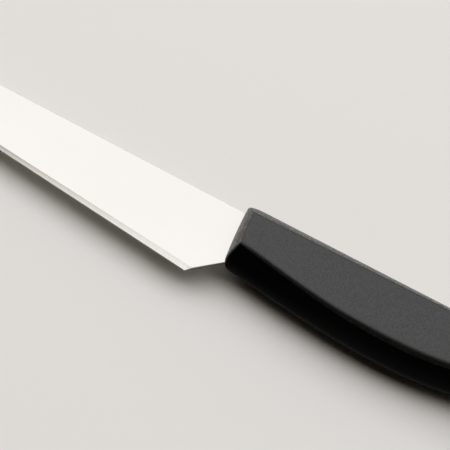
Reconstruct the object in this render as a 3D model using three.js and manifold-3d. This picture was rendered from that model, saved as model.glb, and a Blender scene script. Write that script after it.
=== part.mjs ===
// Cheese knife lying on its side: a stamped steel blade, its tang keyed into a moulded plastic handle.
// Millimetres. +X runs from the tip to the butt, +Y from the cutting edge to the spine, +Z up.
// Outlines are drawn counter-clockwise, measured from the point where the spine enters the handle.
import * as THREE from 'three';
import { mergeVertices } from 'three/addons/utils/BufferGeometryUtils.js';
import Module from 'manifold-3d';

// Blade
const bladeLength = 124; // handle to the foremost fork point
const stock = 1.2; // sheet thickness
const spineRise = 1.65; // degrees that the spine climbs toward the tip
const edgeRise = 5.8; // degrees that the cutting edge climbs toward the tip
const heelHeight = 24.56; // spine to cutting edge at the heel
const heelReach = 3.74; // heel corner ahead of the handle
const heelSlope = 45; // degrees of the cut from the heel corner up to the tang
const edgeLand = 0.35; // thickness left at the cutting edge
const bevelAtHeel = 1.6; // width of the ground bevel at the heel
const bevelAtSweep = 1; // width of the ground bevel where the edge starts to sweep up
const edgeBreak = 0.15; // deburred corner of the stamped outline

// Fork at the tip
const sweepLength = 40; // the cutting edge sweeps up over this length
const sweepPull = 18; // how long the sweep holds the line of the cutting edge
const prongFall = 68; // degrees that the lower prong's back falls from its point
const hornLength = 36; // the spine curls up over this length
const hornPull = 12; // how long the curl holds the line of the spine and of the prongs
const forkRise = 11; // upper point above the spine line
const forkAngle = 42; // degrees that the points aim above the blade
const forkMouth = 10.5; // between the two points
const forkDepth = 10; // mouth to the root of the notch
const pointRadius = 0.7; // blunting of the points

// Tang
const shoulderDepth = 6; // the spine runs this far into the handle before it steps down
const tangDrop = 5; // spine line to the top of the tang
const tangHeight = 9;
const tangCover = 30; // plastic between the tang's end and the butt
const keyRadius = 2.6; // holes that the handle's plastic fills
const firstKey = 30; // front hole behind the handle's front
const lastKey = 16; // rear hole ahead of the tang's end
const slotClearance = 0.3; // around the tang and its keys

// Handle
const handleLength = 118;
const handleThickness = 13.5; // between the two flats
const frontSlant = 11.8; // degrees that the front leans, spine side forward
const frontLead = 0.1; // front ahead of the entry, measured along the spine
const spineCover = 2.42; // handle above the spine line at the front
const spineFall = 2.9; // the top falls this far from the front to the crown
const noseCover = 0.9; // handle below the heel cut at the front
const spineBulge = 5.08; // rounded spine side beyond the flats, at the front
const bellyBulge = 3.9; // rounded belly side beyond the flats, at the front
const noseBulge = 2.1; // more of it at the nose
const noseReach = 42; // the nose's share of it fades over this length
const buttBulge = 3; // rounded sides beyond the flats, at the butt
const frontBulge = 3.55; // rounded front beyond the flats
const bulgeBreak = 3.3; // fall of the rounded side's tangent from the edge of the flat
const noseAngle = 8.5; // degrees that the belly falls behind the nose
const swellDrop = 3.88; // fullest part of the belly below the nose
const swellReach = 51; // fullest part of the belly behind the front
const waistRise = 3.3; // waist above the fullest part
const waistReach = 30; // waist ahead of the butt
const hookDrop = 1.9; // hook below the waist
const hookLength = 10; // lowest point of the hook ahead of the butt
const crownLength = 13; // the top falls away over this length
const topCornerRadius = 1.7; // front corner at the spine
const noseRadius = 1.1; // front corner at the belly
const flatCornerRadius = 1; // both front corners of the flats

// Facets
const cornerSteps = 5;
const curveSteps = 8;
const forkSteps = 12;
const keySteps = 20;
const sideSteps = 4;

const { degToRad, lerp, smoothstep } = THREE.MathUtils;
const tangent = (degrees) => Math.tan(degToRad(degrees));
const at = (x, y) => new THREE.Vector2(x, y);
const heading = (degrees) => at(1, 0).rotateAround(at(0, 0), degToRad(degrees));
const along = (start, direction, distance) => start.clone().addScaledVector(direction, distance);
const line = (start, end) => new THREE.LineCurve(start, end);

// Moves each point of a loop inward, square to the edge before it and the edge after it.
function inset(loop, before, after = before) {
  const inward = (start, end) => end.clone().sub(start).normalize().rotateAround(at(0, 0), Math.PI / 2);
  return loop.map((point, i) => {
    const first = inward(loop.at(i - 1), point);
    const second = inward(point, loop[(i + 1) % loop.length]);
    const fold = first.dot(second);
    const shared = (before[i] + after[i]) / 2 / (1 + fold);
    const skewed = before[i] === after[i] ? 0 : (before[i] - after[i]) / 2 / (1 - fold);
    return point.clone().addScaledVector(first, shared + skewed).addScaledVector(second, shared - skewed);
  });
}

const level = (loop, z) => ({ loop, z: loop.map(() => z) });

// Closed surface over a stack of matching loops, capped flat at both ends. Holes run from cap to cap.
function skin(levels, holes = []) {
  const corners = [];
  const raise = (loop, z) => loop.map(({ x, y }) => new THREE.Vector3(x, y, z));
  const wall = (low, high) => low.forEach((corner, i) => {
    const next = (i + 1) % low.length;
    corners.push(corner, low[next], high[next], corner, high[next], high[i]);
  });
  const cap = ({ loop, z }, order) => {
    const points = [loop, ...holes].flatMap((edge) => raise(edge, z[0]));
    THREE.ShapeUtils.triangulateShape(loop, holes).forEach((face) => {
      corners.push(...order.map((k) => points[face[k]]));
    });
  };
  const rings = levels.map(({ loop, z }) => loop.map(({ x, y }, i) => new THREE.Vector3(x, y, z[i])));
  const bottom = levels[0];
  const top = levels.at(-1);
  rings.slice(1).forEach((ring, i) => wall(rings[i], ring));
  holes.forEach((hole) => wall(raise(hole, bottom.z[0]), raise(hole, top.z[0])));
  cap(bottom, [2, 1, 0]);
  cap(top, [0, 1, 2]);
  return mergeVertices(new THREE.BufferGeometry().setFromPoints(corners));
}

// Heel and tang: corners shared by the blade, by its slot and by the handle's nose
const spineAt = (x) => at(x, -x * tangent(spineRise));
const heelCorner = at(-heelReach, spineAt(-heelReach).y - heelHeight);
const heelHeading = heading(heelSlope);
const tangTop = -tangDrop;
const tangBottom = tangTop - tangHeight;
const tangMiddle = tangTop - tangHeight / 2;
const tangEnd = handleLength - tangCover;
const tangFoot = at(heelCorner.x + (tangBottom - heelCorner.y) / tangent(heelSlope), tangBottom);
const shoulderTop = spineAt(shoulderDepth);
const shoulderRoot = at(shoulderDepth, tangTop);
const tangRound = new THREE.EllipseCurve(
  tangEnd - tangHeight / 2, tangMiddle, tangHeight / 2, tangHeight / 2, -Math.PI / 2, Math.PI / 2);

// Holes are drawn clockwise, so that their walls face inward.
function keyHoles(radius) {
  return [firstKey, tangEnd - lastKey].map((x) => {
    const circle = new THREE.EllipseCurve(x, tangMiddle, radius, radius, 0, 2 * Math.PI, true);
    return circle.getPoints(keySteps).slice(1);
  });
}

// Blade outline as runs of curve, each with the setback and drop of its ground or deburred corner
function bladeRuns() {
  const stamped = { setback: edgeBreak, drop: edgeBreak };
  const ground = (setback) => ({ setback, drop: (stock - edgeLand) / 2 });
  const groundAtSweep = ground(bevelAtSweep);
  const edgeHeading = heading(-edgeRise);
  const sweepStart = at(-bladeLength + sweepLength, heelCorner.y);
  sweepStart.y += (heelCorner.x - sweepStart.x) * tangent(edgeRise);
  const hornStart = spineAt(-bladeLength + hornLength);

  const aim = heading(180 - forkAngle);
  const across = heading(90 - forkAngle);
  const lowPoint = at(-bladeLength - aim.x * pointRadius, 0);
  const highPoint = along(lowPoint, across, forkMouth);
  const lift = at(0, spineAt(highPoint.x).y + forkRise - highPoint.y);
  lowPoint.add(lift);
  highPoint.add(lift);
  const notchRoot = along(lowPoint.clone().lerp(highPoint, 0.5), aim, -2 * forkDepth);
  const sides = (point) => [-1, 1].map((side) => along(point, across, side * pointRadius));
  const [lowOuter, lowInner] = sides(lowPoint);
  const [highInner, highOuter] = sides(highPoint);

  const sweep = new THREE.CubicBezierCurve(
    lowOuter,
    along(lowOuter, heading(-prongFall), hornPull),
    along(sweepStart, edgeHeading, -sweepPull),
    sweepStart,
  );
  const horn = new THREE.CubicBezierCurve(
    hornStart,
    along(hornStart, heading(180 - spineRise), hornPull),
    along(highOuter, aim, -hornPull),
    highOuter,
  );
  const notch = new THREE.QuadraticBezierCurve(highInner, notchRoot, lowInner);
  const blunt = (start, point, end) => (
    new THREE.QuadraticBezierCurve(start, along(point, aim, 2 * pointRadius), end));
  const grindReach = bevelAtHeel / Math.sin(heelHeading.angleTo(edgeHeading)) + edgeBreak;
  const grindEnd = along(heelCorner, heelHeading, grindReach);

  const cut = (curve, steps = 1) => ({ curve, steps, from: stamped, to: stamped });
  return [
    { curve: sweep, steps: forkSteps, from: stamped, to: groundAtSweep },
    { curve: line(sweepStart, heelCorner), steps: 1, from: groundAtSweep, to: ground(bevelAtHeel) },
    { curve: line(heelCorner, grindEnd), steps: 1, from: ground(edgeBreak), to: stamped },
    cut(line(grindEnd, tangFoot)),
    cut(line(tangFoot, tangRound.getPoint(0))),
    cut(tangRound, curveSteps),
    cut(line(tangRound.getPoint(1), shoulderRoot)),
    cut(line(shoulderRoot, shoulderTop)),
    cut(line(shoulderTop, hornStart)),
    cut(horn, forkSteps),
    cut(blunt(highOuter, highPoint, highInner), cornerSteps),
    cut(notch, forkSteps),
    cut(blunt(lowInner, lowPoint, lowOuter), cornerSteps),
  ];
}

// Flat plate with its cutting edge ground down to the land and its other corners deburred
function bladeGeometry() {
  const runs = bladeRuns();
  const stations = runs.flatMap(({ curve, steps, from, to }, i) => {
    const last = runs.at(i - 1).to;
    return curve.getPoints(steps).slice(0, -1).map((point, k) => {
      const after = lerp(from.setback, to.setback, k / steps);
      const drop = lerp(from.drop, to.drop, k / steps);
      return k === 0
        ? { point, before: last.setback, after, drop: Math.max(drop, last.drop) }
        : { point, before: after, after, drop };
    });
  });
  const rim = stations.map(({ point }) => point);
  const face = inset(rim, stations.map(({ before }) => before), stations.map(({ after }) => after));
  const rimHeight = stations.map(({ drop }) => stock / 2 - drop);
  return skin([
    level(face, -stock / 2),
    { loop: rim, z: rimHeight.map((z) => -z) },
    { loop: rim, z: rimHeight },
    level(face, stock / 2),
  ], keyHoles(keyRadius));
}

// Handle outline at its widest level with sharp front corners, from the nose round by the belly and
// the butt. Each station has the bulge that the flats are drawn in by.
function handleStations() {
  const frontHeading = heading(frontSlant - 90);
  const front = heading(frontSlant);
  const frontFoot = at(-frontLead, 0);
  const toFront = frontFoot.clone().sub(heelCorner).dot(front) / heelHeading.dot(front);
  const nose = along(along(heelCorner, heelHeading, toFront), frontHeading, noseCover);
  const swell = at(swellReach, nose.y - swellDrop);
  const waist = at(handleLength - waistReach, swell.y + waistRise);
  const hook = at(handleLength - hookLength, waist.y - hookDrop);
  const crown = at(handleLength - crownLength, spineCover - spineFall);
  const spineBulgeAt = (x) => lerp(spineBulge, buttBulge, (x / handleLength) ** 3);
  const noseShare = (x) => smoothstep(noseReach - x, 0, noseReach);
  const bellyBulgeAt = (x) => lerp(bellyBulge, buttBulge, x / handleLength) + noseBulge * noseShare(x);
  const withBulge = (bulgeAt) => (point) => ({ point, bulge: bulgeAt(point.x) });
  const topCorner = along(frontFoot, frontHeading, spineCover / frontHeading.y);
  const buttMiddle = (crown.y + hook.y) / 2;
  const buttHalf = (crown.y - hook.y) / 2;

  const bellyPull = at(nose.x + swellDrop / tangent(noseAngle), swell.y);
  const belly = new THREE.QuadraticBezierCurve(nose, bellyPull, swell);
  const ease = (start, end) => {
    const halfway = (start.x + end.x) / 2;
    return new THREE.CubicBezierCurve(start, at(halfway, start.y), at(halfway, end.y), end);
  };
  const hookRound = new THREE.EllipseCurve(hook.x, buttMiddle, hookLength, buttHalf, -Math.PI / 2, 0);
  const crownRound = new THREE.EllipseCurve(crown.x, buttMiddle, crownLength, buttHalf, 0, Math.PI / 2);
  const pointsOf = (curve) => curve.getPoints(curveSteps).slice(0, -1);
  const underside = [belly, ease(swell, waist), ease(waist, hook), hookRound].flatMap(pointsOf);
  const upperside = [...pointsOf(crownRound), crown, topCorner];
  return [...underside.map(withBulge(bellyBulgeAt)), ...upperside.map(withBulge(spineBulgeAt))];
}

// Loop at one level: the outline drawn in by a share of the bulge, with its two front corners rounded
function handleLoop(stations, share) {
  const side = stations.map(({ bulge }) => share * bulge);
  const front = share * frontBulge;
  const outline = stations.map(({ point }) => point);
  const sharp = inset(outline, [front, ...side.slice(1)], [...side.slice(0, -1), front]);
  const round = (last, corner, next, radius) => {
    const reach = (end) => along(corner, end.clone().sub(corner).normalize(), radius);
    return new THREE.QuadraticBezierCurve(reach(last), corner, reach(next)).getPoints(cornerSteps);
  };
  const radius = (widest) => lerp(widest, flatCornerRadius, share);
  const noseRound = round(sharp.at(-1), sharp[0], sharp[1], radius(noseRadius));
  const topRound = round(sharp.at(-2), sharp.at(-1), sharp[0], radius(topCornerRadius));
  return [...noseRound, ...sharp.slice(1, -1), ...topRound];
}

// Rounded sides from the widest level, halfway up, to the flats above and below
function handleGeometry() {
  const stations = handleStations();
  const half = handleThickness / 2;
  const upper = Array.from({ length: sideSteps + 1 }, (_, step) => {
    const t = 1 - step / sideSteps;
    const fall = 2 * t * (1 - t) * bulgeBreak + t * t * half;
    return { loop: handleLoop(stations, (1 - t) ** 2), height: half - fall };
  });
  const lower = upper.slice(1).reverse();
  return skin([
    ...lower.map(({ loop, height }) => level(loop, -height)),
    ...upper.map(({ loop, height }) => level(loop, height)),
  ]);
}

// Slot for the tang, left solid where the keys pass through its holes
function slotGeometry() {
  const tangEdge = tangRound.getPoints(curveSteps);
  const loop = [heelCorner, tangFoot, ...tangEdge, shoulderRoot, shoulderTop, spineAt(heelCorner.x)];
  const grown = inset(loop, loop.map(() => -slotClearance));
  const half = stock / 2 + slotClearance;
  return skin([level(grown, -half), level(grown, half)], keyHoles(keyRadius - slotClearance));
}

const wasm = await Module();
wasm.setup();

function solid(geometry) {
  const vertProperties = new Float32Array(geometry.getAttribute('position').array);
  const triVerts = new Uint32Array(geometry.getIndex().array);
  return new wasm.Manifold(new wasm.Mesh({ numProp: 3, vertProperties, triVerts }));
}

function cutAway(body, tool) {
  const { vertProperties, triVerts } = solid(body).subtract(solid(tool)).getMesh();
  const geometry = new THREE.BufferGeometry();
  geometry.setAttribute('position', new THREE.BufferAttribute(vertProperties, 3));
  geometry.setIndex(new THREE.BufferAttribute(triVerts, 1));
  return geometry;
}

function piece(name, geometry, look) {
  const mesh = new THREE.Mesh(geometry, new THREE.MeshStandardMaterial(look));
  mesh.name = name;
  return mesh;
}

const steel = { color: 0xe6e3de, roughness: 0.3, metalness: 1 };
const plastic = { color: 0x1c1c1d, roughness: 0.6, metalness: 0 };

const knife = new THREE.Group();
knife.add(
  piece('blade', bladeGeometry(), steel),
  piece('handle', cutAway(handleGeometry(), slotGeometry()), plastic),
);

// The handle's lower flat rests on the table, with the origin under the middle of the knife.
const extent = new THREE.Box3().setFromObject(knife);
const middle = extent.getCenter(new THREE.Vector3());
knife.position.set(-middle.x, -middle.y, -extent.min.z);

export default knife;
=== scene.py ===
import math

import bpy
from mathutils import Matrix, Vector
from mathutils.geometry import tessellate_polygon


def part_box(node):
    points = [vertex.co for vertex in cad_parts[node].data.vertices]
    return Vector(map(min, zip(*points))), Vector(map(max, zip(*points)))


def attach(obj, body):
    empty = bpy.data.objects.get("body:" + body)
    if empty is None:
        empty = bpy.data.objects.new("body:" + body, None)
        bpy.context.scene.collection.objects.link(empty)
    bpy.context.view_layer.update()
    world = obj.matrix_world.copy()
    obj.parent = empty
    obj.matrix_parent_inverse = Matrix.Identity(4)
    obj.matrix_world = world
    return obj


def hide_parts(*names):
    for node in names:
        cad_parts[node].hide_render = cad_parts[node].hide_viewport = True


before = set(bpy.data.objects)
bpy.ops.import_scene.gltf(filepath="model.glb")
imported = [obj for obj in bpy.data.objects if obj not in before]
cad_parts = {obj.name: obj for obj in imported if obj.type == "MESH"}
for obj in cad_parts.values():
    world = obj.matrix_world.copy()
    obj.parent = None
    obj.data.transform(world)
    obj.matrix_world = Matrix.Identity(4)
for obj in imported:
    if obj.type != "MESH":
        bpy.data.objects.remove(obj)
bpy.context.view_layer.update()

mm = 0.001
scene = bpy.context.scene
scene.view_settings.view_transform = "Standard"
print("frame loaded:", sorted(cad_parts))


# Shader maths: a wire is one output of a node, and an expression on wires adds the nodes it needs
class Wire:
    def __init__(self, tree, socket=None):
        self.tree = tree
        self.socket = socket

    def node(self, kind, settings, sockets, out=0):
        made = self.tree.nodes.new("ShaderNode" + kind)
        for name, value in settings.items():
            setattr(made, name, value)
        for name, value in sockets.items():
            if isinstance(value, Wire):
                self.tree.links.new(value.socket, made.inputs[name])
            else:
                made.inputs[name].default_value = value
        return Wire(self.tree, None if out is None else made.outputs[out])

    def maths(self, operation, a, b):
        return self.node("Math", {"operation": operation}, {0: a, 1: b})

    def __add__(self, other):
        return self.maths("ADD", self, other)

    def __radd__(self, other):
        return self.maths("ADD", other, self)

    def __sub__(self, other):
        return self.maths("SUBTRACT", self, other)

    def __rsub__(self, other):
        return self.maths("SUBTRACT", other, self)

    def __mul__(self, other):
        return self.maths("MULTIPLY", self, other)

    def __rmul__(self, other):
        return self.maths("MULTIPLY", other, self)


def newFinish(name):
    finish = bpy.data.materials.new(name)
    finish.use_nodes = True
    finish.node_tree.nodes.clear()
    return finish, Wire(finish.node_tree)


def surface(wire, sockets):
    return wire.node("BsdfPrincipled", {}, sockets)


def closeFinish(wire, whole):
    wire.node("OutputMaterial", {}, {"Surface": whole}, out=None)


def objectPlace(wire):
    return wire.node("TexCoord", {}, {}, out="Object")


def stretched(wire, place, perMetre):
    return wire.node("VectorMath", {"operation": "MULTIPLY"}, {0: place, 1: perMetre})


def noise(wire, place, scale, detail=3):
    return wire.node("TexNoise", {}, {"Vector": place, "Scale": scale, "Detail": detail})


def blendColour(wire, share, low, high):
    return wire.node("Mix", {"data_type": "RGBA"}, {  # its colour sockets are 6 and 7, and 2 on the way out
        0: share,
        6: (*low, 1),
        7: (*high, 1),
    }, out=2)


# 0 up to the low value, 1 from the high one
def ramp(wire, value, low, high):
    return wire.node("Math", {"operation": "MULTIPLY_ADD", "use_clamp": True}, {
        0: value,
        1: 1 / (high - low),
        2: low / (low - high),
    })


def bumped(wire, height, depth):
    return wire.node("Bump", {}, {"Height": height, "Distance": depth})


# Outline helpers in the plane of the blade
def heading(degrees):
    return Vector((math.cos(math.radians(degrees)), math.sin(math.radians(degrees))))


def slope(degrees):
    return math.tan(math.radians(degrees))


def mix(a, b, share):
    return a + (b - a) * share


def straight(start, end, steps):
    return [start.lerp(end, i / steps) for i in range(steps)]


def bezier(handles, steps):
    def at(t):
        row = handles
        while len(row) > 1:
            row = [a.lerp(b, t) for a, b in zip(row, row[1:])]
        return row[0]
    return [at(i / steps) for i in range(steps)]


def arc(centre, across, up, start, end, steps):
    angles = [math.radians(mix(start, end, i / steps)) for i in range(steps)]
    return [centre + Vector((across * math.cos(a), up * math.sin(a))) for a in angles]


# moves each point of a counter-clockwise loop inward, square to the edges before and after it
def inset(loop, before, after):
    moved = []
    for i, point in enumerate(loop):
        first = (point - loop[i - 1]).normalized().orthogonal()
        second = (loop[(i + 1) % len(loop)] - point).normalized().orthogonal()
        fold = first.dot(second)
        shared = (before[i] + after[i]) / 2 / (1 + fold)
        skewed = 0 if before[i] == after[i] else (before[i] - after[i]) / 2 / (1 - fold)
        moved.append(point + first * (shared + skewed) + second * (shared - skewed))
    return moved


def walls(around, rows, start=0):
    faces = []
    for row in range(rows - 1):
        low = start + row * around
        high = low + around
        for i in range(around):
            j = (i + 1) % around
            faces.append((low + i, low + j, high + j, high + i))
    return faces


def addPiece(name, corners, faces, creaseAngle):
    mesh = bpy.data.meshes.new(name)
    mesh.from_pydata([tuple(corner) for corner in corners], [], faces)
    mesh.shade_smooth()
    mesh.set_sharp_from_angle(angle=math.radians(creaseAngle))
    piece = bpy.data.objects.new(name, mesh)
    scene.collection.objects.link(piece)
    return piece


# Settings of both pieces, because each uses sizes of the other: metres, and angles in degrees
blade = {
    "length": 123.98 * mm,
    "stock": 1.2 * mm,
    "spineRise": 1.65,
    "edgeRise": 5.8,
    "heelHeight": 24.56 * mm,
    "heelReach": 3.74 * mm,
    "heelSlope": 45,
    "edgeLand": 0.35 * mm,
    "bevelAtHeel": 1.6 * mm,
    "bevelAtSweep": 1 * mm,
    "bevelHollow": 0.12,          # how much steeper the ground bevel starts than its mean slope
    "edgeBreak": 0.12 * mm,
    "sweepLength": 40 * mm,
    "sweepPull": 18 * mm,
    "prongFall": 68,
    "hornLength": 36 * mm,
    "hornPull": 12 * mm,
    "forkRise": 10.9 * mm,
    "forkAngle": 42,
    "forkMouth": 10.5 * mm,
    "forkDepth": 10 * mm,
    "pointRadius": 0.7 * mm,
    "shoulderDepth": 6 * mm,
    "tangDrop": 5 * mm,
    "tangHeight": 9 * mm,
    "tangCover": 30 * mm,
    "keyRadius": 2.6 * mm,
    "firstKey": 30 * mm,
    "lastKey": 16 * mm,
    "curveSteps": 40,
    "cornerSteps": 8,
    "keySteps": 32,
    "breakSteps": 4,
    "creaseAngle": 30,
}

handle = {
    "length": 118 * mm,
    "thickness": 13.5 * mm,
    "frontSlant": 11.8,
    "frontLead": 0.1 * mm,        # front ahead of the entry, measured along the spine
    "frontBow": 0.2 * mm,         # the front's middle ahead of its ends
    "frontBulge": 3.55 * mm,      # rounded front beyond the flats
    "spineCover": 2.42 * mm,      # handle above the spine line at the front
    "spineFall": 2.9 * mm,        # from there to the crown
    "spineBulge": 5.08 * mm,      # rounded spine side beyond the flats
    "spineTaper": 3,              # power by which it thins toward the butt
    "buttBulge": 2.4 * mm,
    "noseCover": 0.37 * mm,       # handle below the heel cut at the front
    "bellyBulge": 3.75 * mm,      # rounded belly side beyond the flats
    "noseBulge": 1.7 * mm,        # more of it at the nose
    "noseReach": 42 * mm,
    "hookBulge": 3.39 * mm,
    "bulgeBreak": 3.3 * mm,       # depth below a flat at which the sides turn
    "bellyBreak": 4.6 * mm,
    "noseAngle": 8.5,
    "swellDrop": 4.4 * mm,
    "swellReach": 51 * mm,
    "waistRise": 3.3 * mm,
    "waistReach": 30 * mm,
    "hookDrop": 1.9 * mm,
    "hookLength": 10 * mm,
    "crownLength": 13 * mm,
    "topCorner": (7 * mm, 1.5 * mm),     # rounding along the spine and down the front
    "noseCorner": (2.5 * mm, 1.9 * mm),  # up the front and along the belly
    "flatCornerRadius": 0.4 * mm,
    "flatEdgeWidth": 0.25 * mm,   # rounding between a flat and the sides, measured on the flat
    "bellyEdgeWidth": 1 * mm,     # wider along the belly
    "bellyEdgeGain": 0.6 * mm,    # and wider still halfway along it
    "bellyEdgePeak": 4,           # power that narrows this gain to the middle
    "flatRim": 0.2 * mm,          # narrow level rim inside the rounding
    "noseRun": 0.1,               # share of the belly curve that stays straight behind the nose
    "curveSteps": 32,
    "cornerSteps": 10,
    "frontSteps": 12,
    "sideSteps": 16,
    "edgeSteps": 8,
    "creaseAngle": 40,
}

# the spot where the spine enters the handle, from which outlines are measured
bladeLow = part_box("blade")[0]
handleLow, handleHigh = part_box("handle")
middle = (handleLow.z + handleHigh.z) / 2
entry = Vector((
    handleHigh.x - handle["length"],
    bladeLow.y + blade["heelHeight"] - blade["heelReach"] * slope(blade["spineRise"]),
))


def spineAt(x):
    return Vector((x, -x * slope(blade["spineRise"])))


heelCorner = Vector((-blade["heelReach"], spineAt(-blade["heelReach"]).y - blade["heelHeight"]))
heelHeading = heading(blade["heelSlope"])


def placed(point, height):
    return Vector((entry.x + point.x, entry.y + point.y, middle + height))


# Camera at the photograph's angle, aimed near the heel of the blade
cameraView = {
    "azimuth": 32.46,
    "elevation": 52,
    "distance": 305.56 * mm,
    "aim": Vector((-5.846 * mm, -1.599 * mm)),  # from the spot where the spine enters the handle
    "lens": 88,
    "nearest": 10 * mm,
}


def backward(azimuth, elevation):
    a = math.radians(azimuth)
    e = math.radians(elevation)
    return Vector((math.sin(a) * math.cos(e), -math.cos(a) * math.cos(e), math.sin(e)))


def makeCamera():
    lens = bpy.data.cameras.new("camera")
    lens.lens = cameraView["lens"]
    lens.clip_start = cameraView["nearest"]
    camera = bpy.data.objects.new("camera", lens)
    back = backward(cameraView["azimuth"], cameraView["elevation"])
    target = placed(cameraView["aim"], -middle)
    camera.location = target + back * cameraView["distance"]
    camera.rotation_euler = back.to_track_quat("Z", "Y").to_euler()
    scene.collection.objects.link(camera)
    scene.camera = camera
    print("camera set")


makeCamera()


# Blade outline as runs of points, each with the setback and drop of its ground or deburred corner
def bladeRuns():
    b = blade
    stamped = {"setback": b["edgeBreak"], "drop": b["edgeBreak"], "ground": 0}

    def ground(setback):
        return {"setback": setback, "drop": (b["stock"] - b["edgeLand"]) / 2, "ground": 1}

    edgeHeading = heading(-b["edgeRise"])
    sweepStart = Vector((-b["length"] + b["sweepLength"], heelCorner.y))
    sweepStart.y += (heelCorner.x - sweepStart.x) * slope(b["edgeRise"])
    hornStart = spineAt(-b["length"] + b["hornLength"])

    aim = heading(180 - b["forkAngle"])
    across = heading(90 - b["forkAngle"])
    lowPoint = Vector((-b["length"] - aim.x * b["pointRadius"], 0))
    highPoint = lowPoint + across * b["forkMouth"]
    lift = Vector((0, spineAt(highPoint.x).y + b["forkRise"] - highPoint.y))
    lowPoint += lift
    highPoint += lift
    notchRoot = lowPoint.lerp(highPoint, 0.5) - aim * 2 * b["forkDepth"]
    lowOuter, lowInner = [lowPoint + across * side * b["pointRadius"] for side in (-1, 1)]
    highInner, highOuter = [highPoint + across * side * b["pointRadius"] for side in (-1, 1)]

    def blunt(start, point, end):
        return bezier([start, point + aim * 2 * b["pointRadius"], end], b["cornerSteps"])

    tangTop = -b["tangDrop"]
    tangBottom = tangTop - b["tangHeight"]
    tangRadius = b["tangHeight"] / 2
    tangRound = Vector((handle["length"] - b["tangCover"] - tangRadius, tangTop - tangRadius))
    tangFoot = heelCorner + heelHeading * ((tangBottom - heelCorner.y) / heelHeading.y)
    tangHighEnd = tangRound + Vector((0, tangRadius))
    shoulderTop = spineAt(b["shoulderDepth"])
    shoulderRoot = Vector((b["shoulderDepth"], tangTop))
    grindReach = b["bevelAtHeel"] / math.sin(heelHeading.angle(edgeHeading)) + b["edgeBreak"]
    grindEnd = heelCorner + heelHeading * grindReach

    steps = b["curveSteps"]
    sweep = bezier([
        lowOuter,
        lowOuter + heading(-b["prongFall"]) * b["hornPull"],
        sweepStart - edgeHeading * b["sweepPull"],
        sweepStart,
    ], steps)
    horn = bezier([
        hornStart,
        hornStart + heading(180 - b["spineRise"]) * b["hornPull"],
        highOuter - aim * b["hornPull"],
        highOuter,
    ], steps)
    return [
        (sweep, stamped, ground(b["bevelAtSweep"])),
        (straight(sweepStart, heelCorner, steps), ground(b["bevelAtSweep"]), ground(b["bevelAtHeel"])),
        ([heelCorner], ground(b["edgeBreak"]), stamped),
        ([grindEnd, tangFoot], stamped, stamped),
        (arc(tangRound, tangRadius, tangRadius, -90, 90, steps), stamped, stamped),
        ([tangHighEnd, shoulderRoot, shoulderTop], stamped, stamped),
        (horn, stamped, stamped),
        (blunt(highOuter, highPoint, highInner), stamped, stamped),
        (bezier([highInner, notchRoot, lowInner], steps), stamped, stamped),
        (blunt(lowInner, lowPoint, lowOuter), stamped, stamped),
    ]


def bladeStations():
    runs = bladeRuns()
    stations = []
    for i, (points, first, last) in enumerate(runs):
        earlier = runs[i - 1][2]
        for k, point in enumerate(points):
            share = k / len(points)
            here = {key: mix(first[key], last[key], share) for key in first}
            here["point"] = point
            here["before"] = here["setback"] if k else earlier["setback"]
            if k == 0:
                here["drop"] = max(here["drop"], earlier["drop"])
                here["ground"] = max(here["ground"], earlier["ground"])
            stations.append(here)
    return stations


# share 0 is the flat face, 1 the rim: ground stretches fall in a slight hollow, deburred ones round over
def bladeRing(stations, share, side):
    turn = share * math.pi / 2
    rim = [s["point"] for s in stations]
    keep = [mix(1 - math.sin(turn), 1 - share, s["ground"]) for s in stations]
    hollow = share * (1 + blade["bevelHollow"] * (1 - share))
    fall = [mix(1 - math.cos(turn), hollow, s["ground"]) for s in stations]
    before = [s["before"] * k for s, k in zip(stations, keep)]
    after = [s["setback"] * k for s, k in zip(stations, keep)]
    loop = inset(rim, before, after)
    half = blade["stock"] / 2
    return [placed(p, side * (half - s["drop"] * f)) for p, s, f in zip(loop, stations, fall)]


def keyHole(x, height):
    b = blade
    centre = Vector((x, -b["tangDrop"] - b["tangHeight"] / 2))
    circle = arc(centre, b["keyRadius"], b["keyRadius"], 0, -360, b["keySteps"])
    return [placed(point, height) for point in circle]


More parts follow.
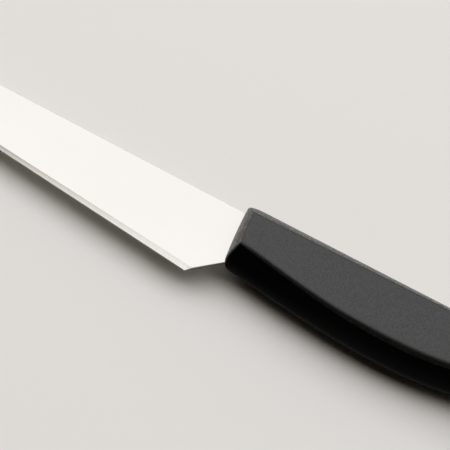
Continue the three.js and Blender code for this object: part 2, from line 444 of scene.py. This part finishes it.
def makeBlade():
    b = blade
    half = b["stock"] / 2
    stations = bladeStations()
    shares = [i / b["breakSteps"] for i in range(b["breakSteps"] + 1)]
    rings = [bladeRing(stations, share, -1) for share in shares]
    rings += [bladeRing(stations, share, 1) for share in reversed(shares)]
    corners = [corner for ring in rings for corner in ring]
    faces = walls(len(stations), len(rings))

    # the tang's key holes, then both flat faces around them
    caps = {-1: [rings[0]], 1: [rings[-1]]}
    starts = {-1: [0], 1: [len(corners) - len(stations)]}
    for x in (b["firstKey"], handle["length"] - b["tangCover"] - b["lastKey"]):
        start = len(corners)
        for side in (-1, 1):
            hole = keyHole(x, side * half)
            caps[side].append(hole)
            starts[side].append(len(corners))
            corners += hole
        faces += walls(b["keySteps"], 2, start)
    for side in (-1, 1):
        index = [first + i for first, loop in zip(starts[side], caps[side]) for i in range(len(loop))]
        for triangle in tessellate_polygon(caps[side]):
            a, p, q = (corners[index[i]] for i in triangle)
            facing = (p - a).cross(q - a).z * side > 0
            faces.append(tuple(index[i] for i in (triangle if facing else reversed(triangle))))
    piece = addPiece("blade_plate", corners, faces, b["creaseAngle"])

    # the ground bevel takes the second finish, and the shear-cut walls the third, painted near-black as
    # shade
    around = len(stations)
    lastRing = around * (len(rings) - 1)
    ground = {i for i, s in enumerate(stations) if s["ground"] > 0.5}
    for finish in (satinSteel(), markedSteel("ground"), markedSteel("shear_painted_shade")):
        piece.data.materials.append(finish)
    for face in piece.data.polygons[:lastRing]:
        row = face.index // around
        if {corner % around for corner in face.vertices} <= ground:
            face.material_index = 1
        elif row == len(rings) // 2 - 1:
            face.material_index = 2

    # finishes and flat faces meet in crisp lines
    beside = {}
    for face in piece.data.polygons:
        kind = face.material_index if face.index < lastRing else "flat"
        for pair in face.edge_keys:
            beside.setdefault(pair, set()).add(kind)
    for edge in piece.data.edges:
        if len(beside[edge.key]) > 1:
            edge.use_edge_sharp = True
    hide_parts("blade")
    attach(piece, "root")
    print("blade made:", len(piece.data.polygons), "faces")


# Half of one side in profile, from its widest level up to the flat: x is the inset from the outline,
# y the fall from the flat
def section(bulge, edgeWidth, sideBreak):
    h = handle
    flatEdge = Vector((bulge, 0))
    shoulder = Vector((0, sideBreak))
    widest = Vector((0, h["thickness"] / 2))
    share = edgeWidth / 2 / (shoulder - flatEdge).length  # of the side that the rounding takes
    turn = shoulder.lerp(widest, share)
    roundStart = flatEdge.lerp(shoulder, share).lerp(turn, share)
    corner = roundStart + (roundStart - turn) * (roundStart.y / (turn.y - roundStart.y))
    roundEnd = corner + Vector((edgeWidth, 0))
    rim = roundEnd + Vector((h["flatRim"], 0))
    side = bezier([widest, turn, roundStart], h["sideSteps"])
    return side + bezier([roundStart, corner, roundEnd], h["edgeSteps"]) + [roundEnd, rim]


# Handle outline at its widest level, from the nose round by the belly and the butt to the spine
def handleStations():
    h = handle
    front = heading(h["frontSlant"])
    frontHeading = heading(h["frontSlant"] - 90)
    frontFoot = Vector((-h["frontLead"], 0))
    nose = heelCorner + heelHeading * ((frontFoot - heelCorner).dot(front) / heelHeading.dot(front))
    nose += frontHeading * h["noseCover"]
    swell = Vector((h["swellReach"], nose.y - h["swellDrop"]))
    waist = Vector((h["length"] - h["waistReach"], swell.y + h["waistRise"]))
    hook = Vector((h["length"] - h["hookLength"], waist.y - h["hookDrop"]))
    bellyPull = Vector((nose.x + h["swellDrop"] / slope(h["noseAngle"]), swell.y))
    crown = Vector((h["length"] - h["crownLength"], h["spineCover"] - h["spineFall"]))
    topCorner = frontFoot + frontHeading * (h["spineCover"] / frontHeading.y)
    buttMiddle = (crown.y + hook.y) / 2
    buttHalf = (crown.y - hook.y) / 2

    def ease(start, end):
        halfway = (start.x + end.x) / 2
        return bezier([start, Vector((halfway, start.y)), Vector((halfway, end.y)), end], steps)

    steps = h["curveSteps"]
    belly = [p for i, p in enumerate(bezier([nose, bellyPull, swell], 2 * steps))
             if i == 0 or i >= 2 * steps * h["noseRun"]]
    hookRound = arc(Vector((hook.x, buttMiddle)), h["hookLength"], buttHalf, -90, 0, steps)
    crownRound = arc(Vector((crown.x, buttMiddle)), h["crownLength"], buttHalf, 0, 90, steps)
    under = belly + ease(swell, waist) + ease(waist, hook) + hookRound

    def bellySection(x):
        bulge = mix(h["bellyBulge"], h["hookBulge"], x / h["length"])
        share = max(0, 1 - x / h["noseReach"])
        bulge += h["noseBulge"] * share * share * (3 - 2 * share)
        peak = math.sin(math.pi * x / h["length"]) ** h["bellyEdgePeak"]
        edgeWidth = h["bellyEdgeWidth"] + h["bellyEdgeGain"] * peak
        return section(bulge, edgeWidth, h["bellyBreak"])

    # round the butt the belly's profile turns into the spine's
    def spineSection(x, share):
        bulge = mix(h["spineBulge"], h["buttBulge"], (x / h["length"]) ** h["spineTaper"])
        bulge = mix(h["hookBulge"], bulge, share)
        edgeWidth = mix(h["bellyEdgeWidth"], h["flatEdgeWidth"], share)
        return section(bulge, edgeWidth, mix(h["bellyBreak"], h["bulgeBreak"], share))

    stations = [(point, bellySection(point.x)) for point in under]
    stations += [(point, spineSection(point.x, i / steps)) for i, point in enumerate(crownRound)]
    stations += [(point, spineSection(point.x, 1)) for point in (crown, topCorner)]
    spineSteps = len(under) - len(crownRound)  # so that the upper side has as many points as the under side
    return stations, spineSteps


# One level of the lower or the upper half: the outline drawn in by its sections, with round front corners
def handleRing(stations, spineSteps, level, half):
    h = handle
    front = section(h["frontBulge"], h["flatEdgeWidth"], h["bulgeBreak"])[level]
    spots = [profile[level] for point, profile in stations]
    insets = [spot.x for spot in spots]
    falls = [spot.y for spot in spots]
    for corner in (0, -1):
        falls[corner] = (falls[corner] + front.y) / 2
    outline = [point for point, profile in stations]
    loop = inset(outline, [front.x] + insets[1:], insets[:-1] + [front.x])
    sharp = [point.to_3d() - Vector((0, 0, fall)) for point, fall in zip(loop, falls)]
    share = min(1, front.x / h["frontBulge"])

    def rounded(last, corner, following, reaches):
        before, after = (mix(reach, h["flatCornerRadius"], share) for reach in reaches)
        start = corner + (last - corner).normalized() * before
        end = corner + (following - corner).normalized() * after
        return bezier([start, corner, end], h["cornerSteps"]) + [end]

    noseRound = rounded(sharp[-1], sharp[0], sharp[1], h["noseCorner"])
    topRound = rounded(sharp[-2], sharp[-1], sharp[0], h["topCorner"])
    noseFill = straight(noseRound[-1], sharp[1], h["cornerSteps"])[1:]
    spineFill = straight(sharp[-2], topRound[0], spineSteps + h["cornerSteps"])
    bow = topRound[-1].lerp(noseRound[0], 0.5) - heading(h["frontSlant"]).to_3d() * 2 * h["frontBow"]
    bow.z = -front.y
    frontFill = bezier([topRound[-1], bow, noseRound[0]], h["frontSteps"])[1:]
    loop = noseRound + noseFill + sharp[1:-2] + spineFill + topRound + frontFill
    halfway = h["frontSteps"] // 2
    loop = loop[-halfway:] + loop[:-halfway]  # starts halfway up the front, so that the flats close in rungs
    return [placed(spot.xy, half * (h["thickness"] / 2 + spot.z)) for spot in loop]


# a flat as a ladder of faces from the front to the butt
def rungs(start, count, side):
    ladder = []
    for i in range(count // 2):
        a, b = i, i + 1
        face = [(-a) % count, a, b, (-b) % count]
        face = list(dict.fromkeys(start + corner for corner in face))
        ladder.append(tuple(face if side > 0 else reversed(face)))
    return ladder


def makeHandle():
    stations, spineSteps = handleStations()
    levels = range(len(stations[0][1]))
    rings = [handleRing(stations, spineSteps, level, -1) for level in reversed(levels[1:])]
    rings += [handleRing(stations, spineSteps, level, 1) for level in levels]
    count = len(rings[0])
    corners = [corner for ring in rings for corner in ring]
    faces = walls(count, len(rings))
    faces += rungs(0, count, -1)
    faces += rungs(len(corners) - count, count, 1)
    piece = addPiece("handle_moulding", corners, faces, handle["creaseAngle"])

    # the flats and their rounding take the smoother finish
    for finish in (flatPlastic(), sidePlastic()):
        piece.data.materials.append(finish)
    rim = handle["edgeSteps"] + 1
    for face in piece.data.polygons:
        row = face.index // count
        if rim <= row < len(rings) - 1 - rim:
            face.material_index = 1
    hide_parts("handle")
    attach(piece, "root")
    print("handle made:", count, "round by", len(rings), "levels")


# Satin sides of the blade
satin = {
    "dark": (0.646, 0.629, 0.6),
    "light": (0.676, 0.659, 0.629),
    "metallic": 0.75,             # the rest scatters widely, as fine blasting does
    "cloudsPerMetre": 40,
    "grainPerMetre": (900, 9000, 9000),
    "roughness": 0.3,
    "roughnessSpread": 0.06,
    "grainDepth": 0.6e-6,
}


def satinSteel():
    s = satin
    finish, wire = newFinish("satin_steel")
    place = objectPlace(wire)
    clouds = noise(wire, place, s["cloudsPerMetre"])
    grain = noise(wire, stretched(wire, place, s["grainPerMetre"]), 1)
    closeFinish(wire, surface(wire, {
        "Base Color": blendColour(wire, clouds, s["dark"], s["light"]),
        "Roughness": s["roughness"] + s["roughnessSpread"] * (grain - 0.5),
        "Metallic": s["metallic"],
        "Normal": bumped(wire, grain, s["grainDepth"]),
    }))
    return finish


# Steel with the marks of a tool: grinding lines across the bright bevel, and tears down the shear-cut walls
# over a near-black colour that is painted shade
marked = {
    "ground": {
        "dark": (0.525, 0.522, 0.504),
        "light": (0.71, 0.706, 0.68),
        "marksPerMetre": (2600, 300, 300),
        "roughness": 0.3,
        "roughnessSpread": 0.1,
        "markDepth": 3e-6,
    },
    # near-black, far darker than steel: painted shade on the shear-cut walls; only the tears in it are the
    # walls' own marks
    "shear_painted_shade": {
        "dark": (0.1, 0.096, 0.09),
        "light": (0.22, 0.212, 0.2),
        "marksPerMetre": (2400, 2400, 500),
        "roughness": 0.42,
        "roughnessSpread": 0.16,
        "markDepth": 6e-6,
    },
}


def markedSteel(name):
    m = marked[name]
    finish, wire = newFinish(name + "_steel")
    marks = noise(wire, stretched(wire, objectPlace(wire), m["marksPerMetre"]), 1)
    closeFinish(wire, surface(wire, {
        "Base Color": blendColour(wire, marks, m["dark"], m["light"]),
        "Roughness": m["roughness"] + m["roughnessSpread"] * (marks - 0.5),
        "Metallic": 1,
        "Normal": bumped(wire, marks, m["markDepth"]),
    }))
    return finish


# Black plastic: smoother flats and grained sides; the sides are lit and shaded copies, a lighter one facing
# the lamps and a near-black belly with little gloss facing away, which is painted light and painted shade
plastic = {
    "flat": {
        "dark": (0.001, 0.001, 0.001),
        "light": (0.011, 0.011, 0.0108),
        "grainPerMetre": 2400,
        "grainDepth": 8e-6,
        "roughness": 0.32,
        "gloss": 0.5,
        "glints": 0.12,
    },
    # lighter than the flat partly for its grain and partly as painted light where the sides face the lamps
    "side": {
        "dark": (0.002, 0.002, 0.002),
        "light": (0.05, 0.049, 0.0475),
        "grainPerMetre": 1500,
        "grainDepth": 40e-6,
        "roughness": 0.42,
        "gloss": 0.5,
        "glints": 0.6,
    },
    # near-black and nearly glossless: painted shade where the sides face away from the lamps
    "belly": {
        "dark": (0.0008, 0.0008, 0.0008),
        "light": (0.002, 0.002, 0.002),
        "grainPerMetre": 1900,
        "grainDepth": 20e-6,
        "roughness": 0.32,
        "gloss": 0.03,
        "glints": 0,
    },
    "cloudsPerMetre": 60,
    "cloudDetail": 4,
    "roughnessSpread": 0.08,
    "speckle": (0.375, 0.625),      # stretch of the grain that the contrast is drawn from
    "glintRoughness": 0.34,
    "ior": 1.5,
    "paintedShadeFacing": (-0.25, -0.6),   # the belly look, painted shade, sets in where a side faces this far toward the edge and away from the lamps
}


def plasticLook(wire, name):
    p = plastic
    look = p[name]
    place = objectPlace(wire)
    clouds = noise(wire, place, p["cloudsPerMetre"], p["cloudDetail"])
    grain = noise(wire, place, look["grainPerMetre"])
    speckle = ramp(wire, grain, *p["speckle"])
    return surface(wire, {
        "Base Color": blendColour(wire, speckle, look["dark"], look["light"]),
        "Roughness": look["roughness"] + p["roughnessSpread"] * (clouds - 0.5),
        "IOR": p["ior"],
        "Specular IOR Level": look["gloss"],
        "Coat Weight": look["glints"] * speckle,
        "Coat Roughness": p["glintRoughness"],
        "Normal": bumped(wire, grain, look["grainDepth"]),
    })


def flatPlastic():
    finish, wire = newFinish("black_plastic_flat")
    closeFinish(wire, plasticLook(wire, "flat"))
    return finish


def sidePlastic():
    finish, wire = newFinish("black_plastic_side_painted_light_and_shade")
    # a side facing the edge, away from the lamps, turns into the darker belly copy: painted shade by facing
    facing = wire.node("SeparateXYZ", {}, {0: wire.node("TexCoord", {}, {}, out="Normal")}, out="Y")
    closeFinish(wire, wire.node("MixShader", {}, {
        0: ramp(wire, facing, *plastic["paintedShadeFacing"]),
        1: plasticLook(wire, "side"),
        2: plasticLook(wire, "belly"),
    }))
    return finish


makeBlade()
makeHandle()


# Plain pale floor under a large softbox, overhead and a little behind, with a dimmer card on each side
studio = {
    "floorSize": 12,
    "floorColour": (0.87, 0.863, 0.836),
    "floorRoughness": 0.9,
    "worldColour": (0.015, 0.0125, 0.0098),
    "lampDistance": 2.2,
    "lampLength": 11,
    "lampShift": -1.5,            # toward the tip
    "lamps": {                    # tilt from overhead toward the spine side and spread across, in degrees
        "softbox": {"tilt": 23.75, "spread": 52.5, "radiance": 1.69, "colour": (1, 1, 1.01)},
        "near_card": {"tilt": -8.75, "spread": 12.5, "radiance": 1.06, "colour": (1, 0.9, 0.81)},
        "back_card": {"tilt": 65, "spread": 30, "radiance": 0.565, "colour": (1, 0.96, 0.83)},
    },
}


def makeFloor():
    half = studio["floorSize"] / 2
    mesh = bpy.data.meshes.new("floor")
    square = [(-half, -half, 0), (half, -half, 0), (half, half, 0), (-half, half, 0)]
    mesh.from_pydata(square, [], [(0, 1, 2, 3)])
    finish, wire = newFinish("pale_floor")
    closeFinish(wire, surface(wire, {
        "Base Color": (*studio["floorColour"], 1),
        "Roughness": studio["floorRoughness"],
    }))
    mesh.materials.append(finish)
    floor = bpy.data.objects.new("floor", mesh)
    scene.collection.objects.link(floor)


def addLamp(name, tilt, spread, radiance, colour):
    distance = studio["lampDistance"]
    light = bpy.data.lights.new(name, "AREA")
    light.shape = "RECTANGLE"
    light.size = studio["lampLength"]
    light.size_y = 2 * distance * slope(spread / 2)
    light.energy = radiance * math.pi * light.size * light.size_y
    light.color = colour
    lamp = bpy.data.objects.new(name, light)
    turn = math.radians(tilt)
    lamp.location = Vector((studio["lampShift"], distance * math.sin(turn), distance * math.cos(turn)))
    lamp.rotation_euler = (-turn, 0, 0)
    scene.collection.objects.link(lamp)


def makeStudio():
    makeFloor()
    for name, lamp in studio["lamps"].items():
        addLamp(name, **lamp)
    world = bpy.data.worlds.new("studio")
    world.use_nodes = True
    world.node_tree.nodes["Background"].inputs["Color"].default_value = (*studio["worldColour"], 1)
    scene.world = world
    print("studio lit")


makeStudio()
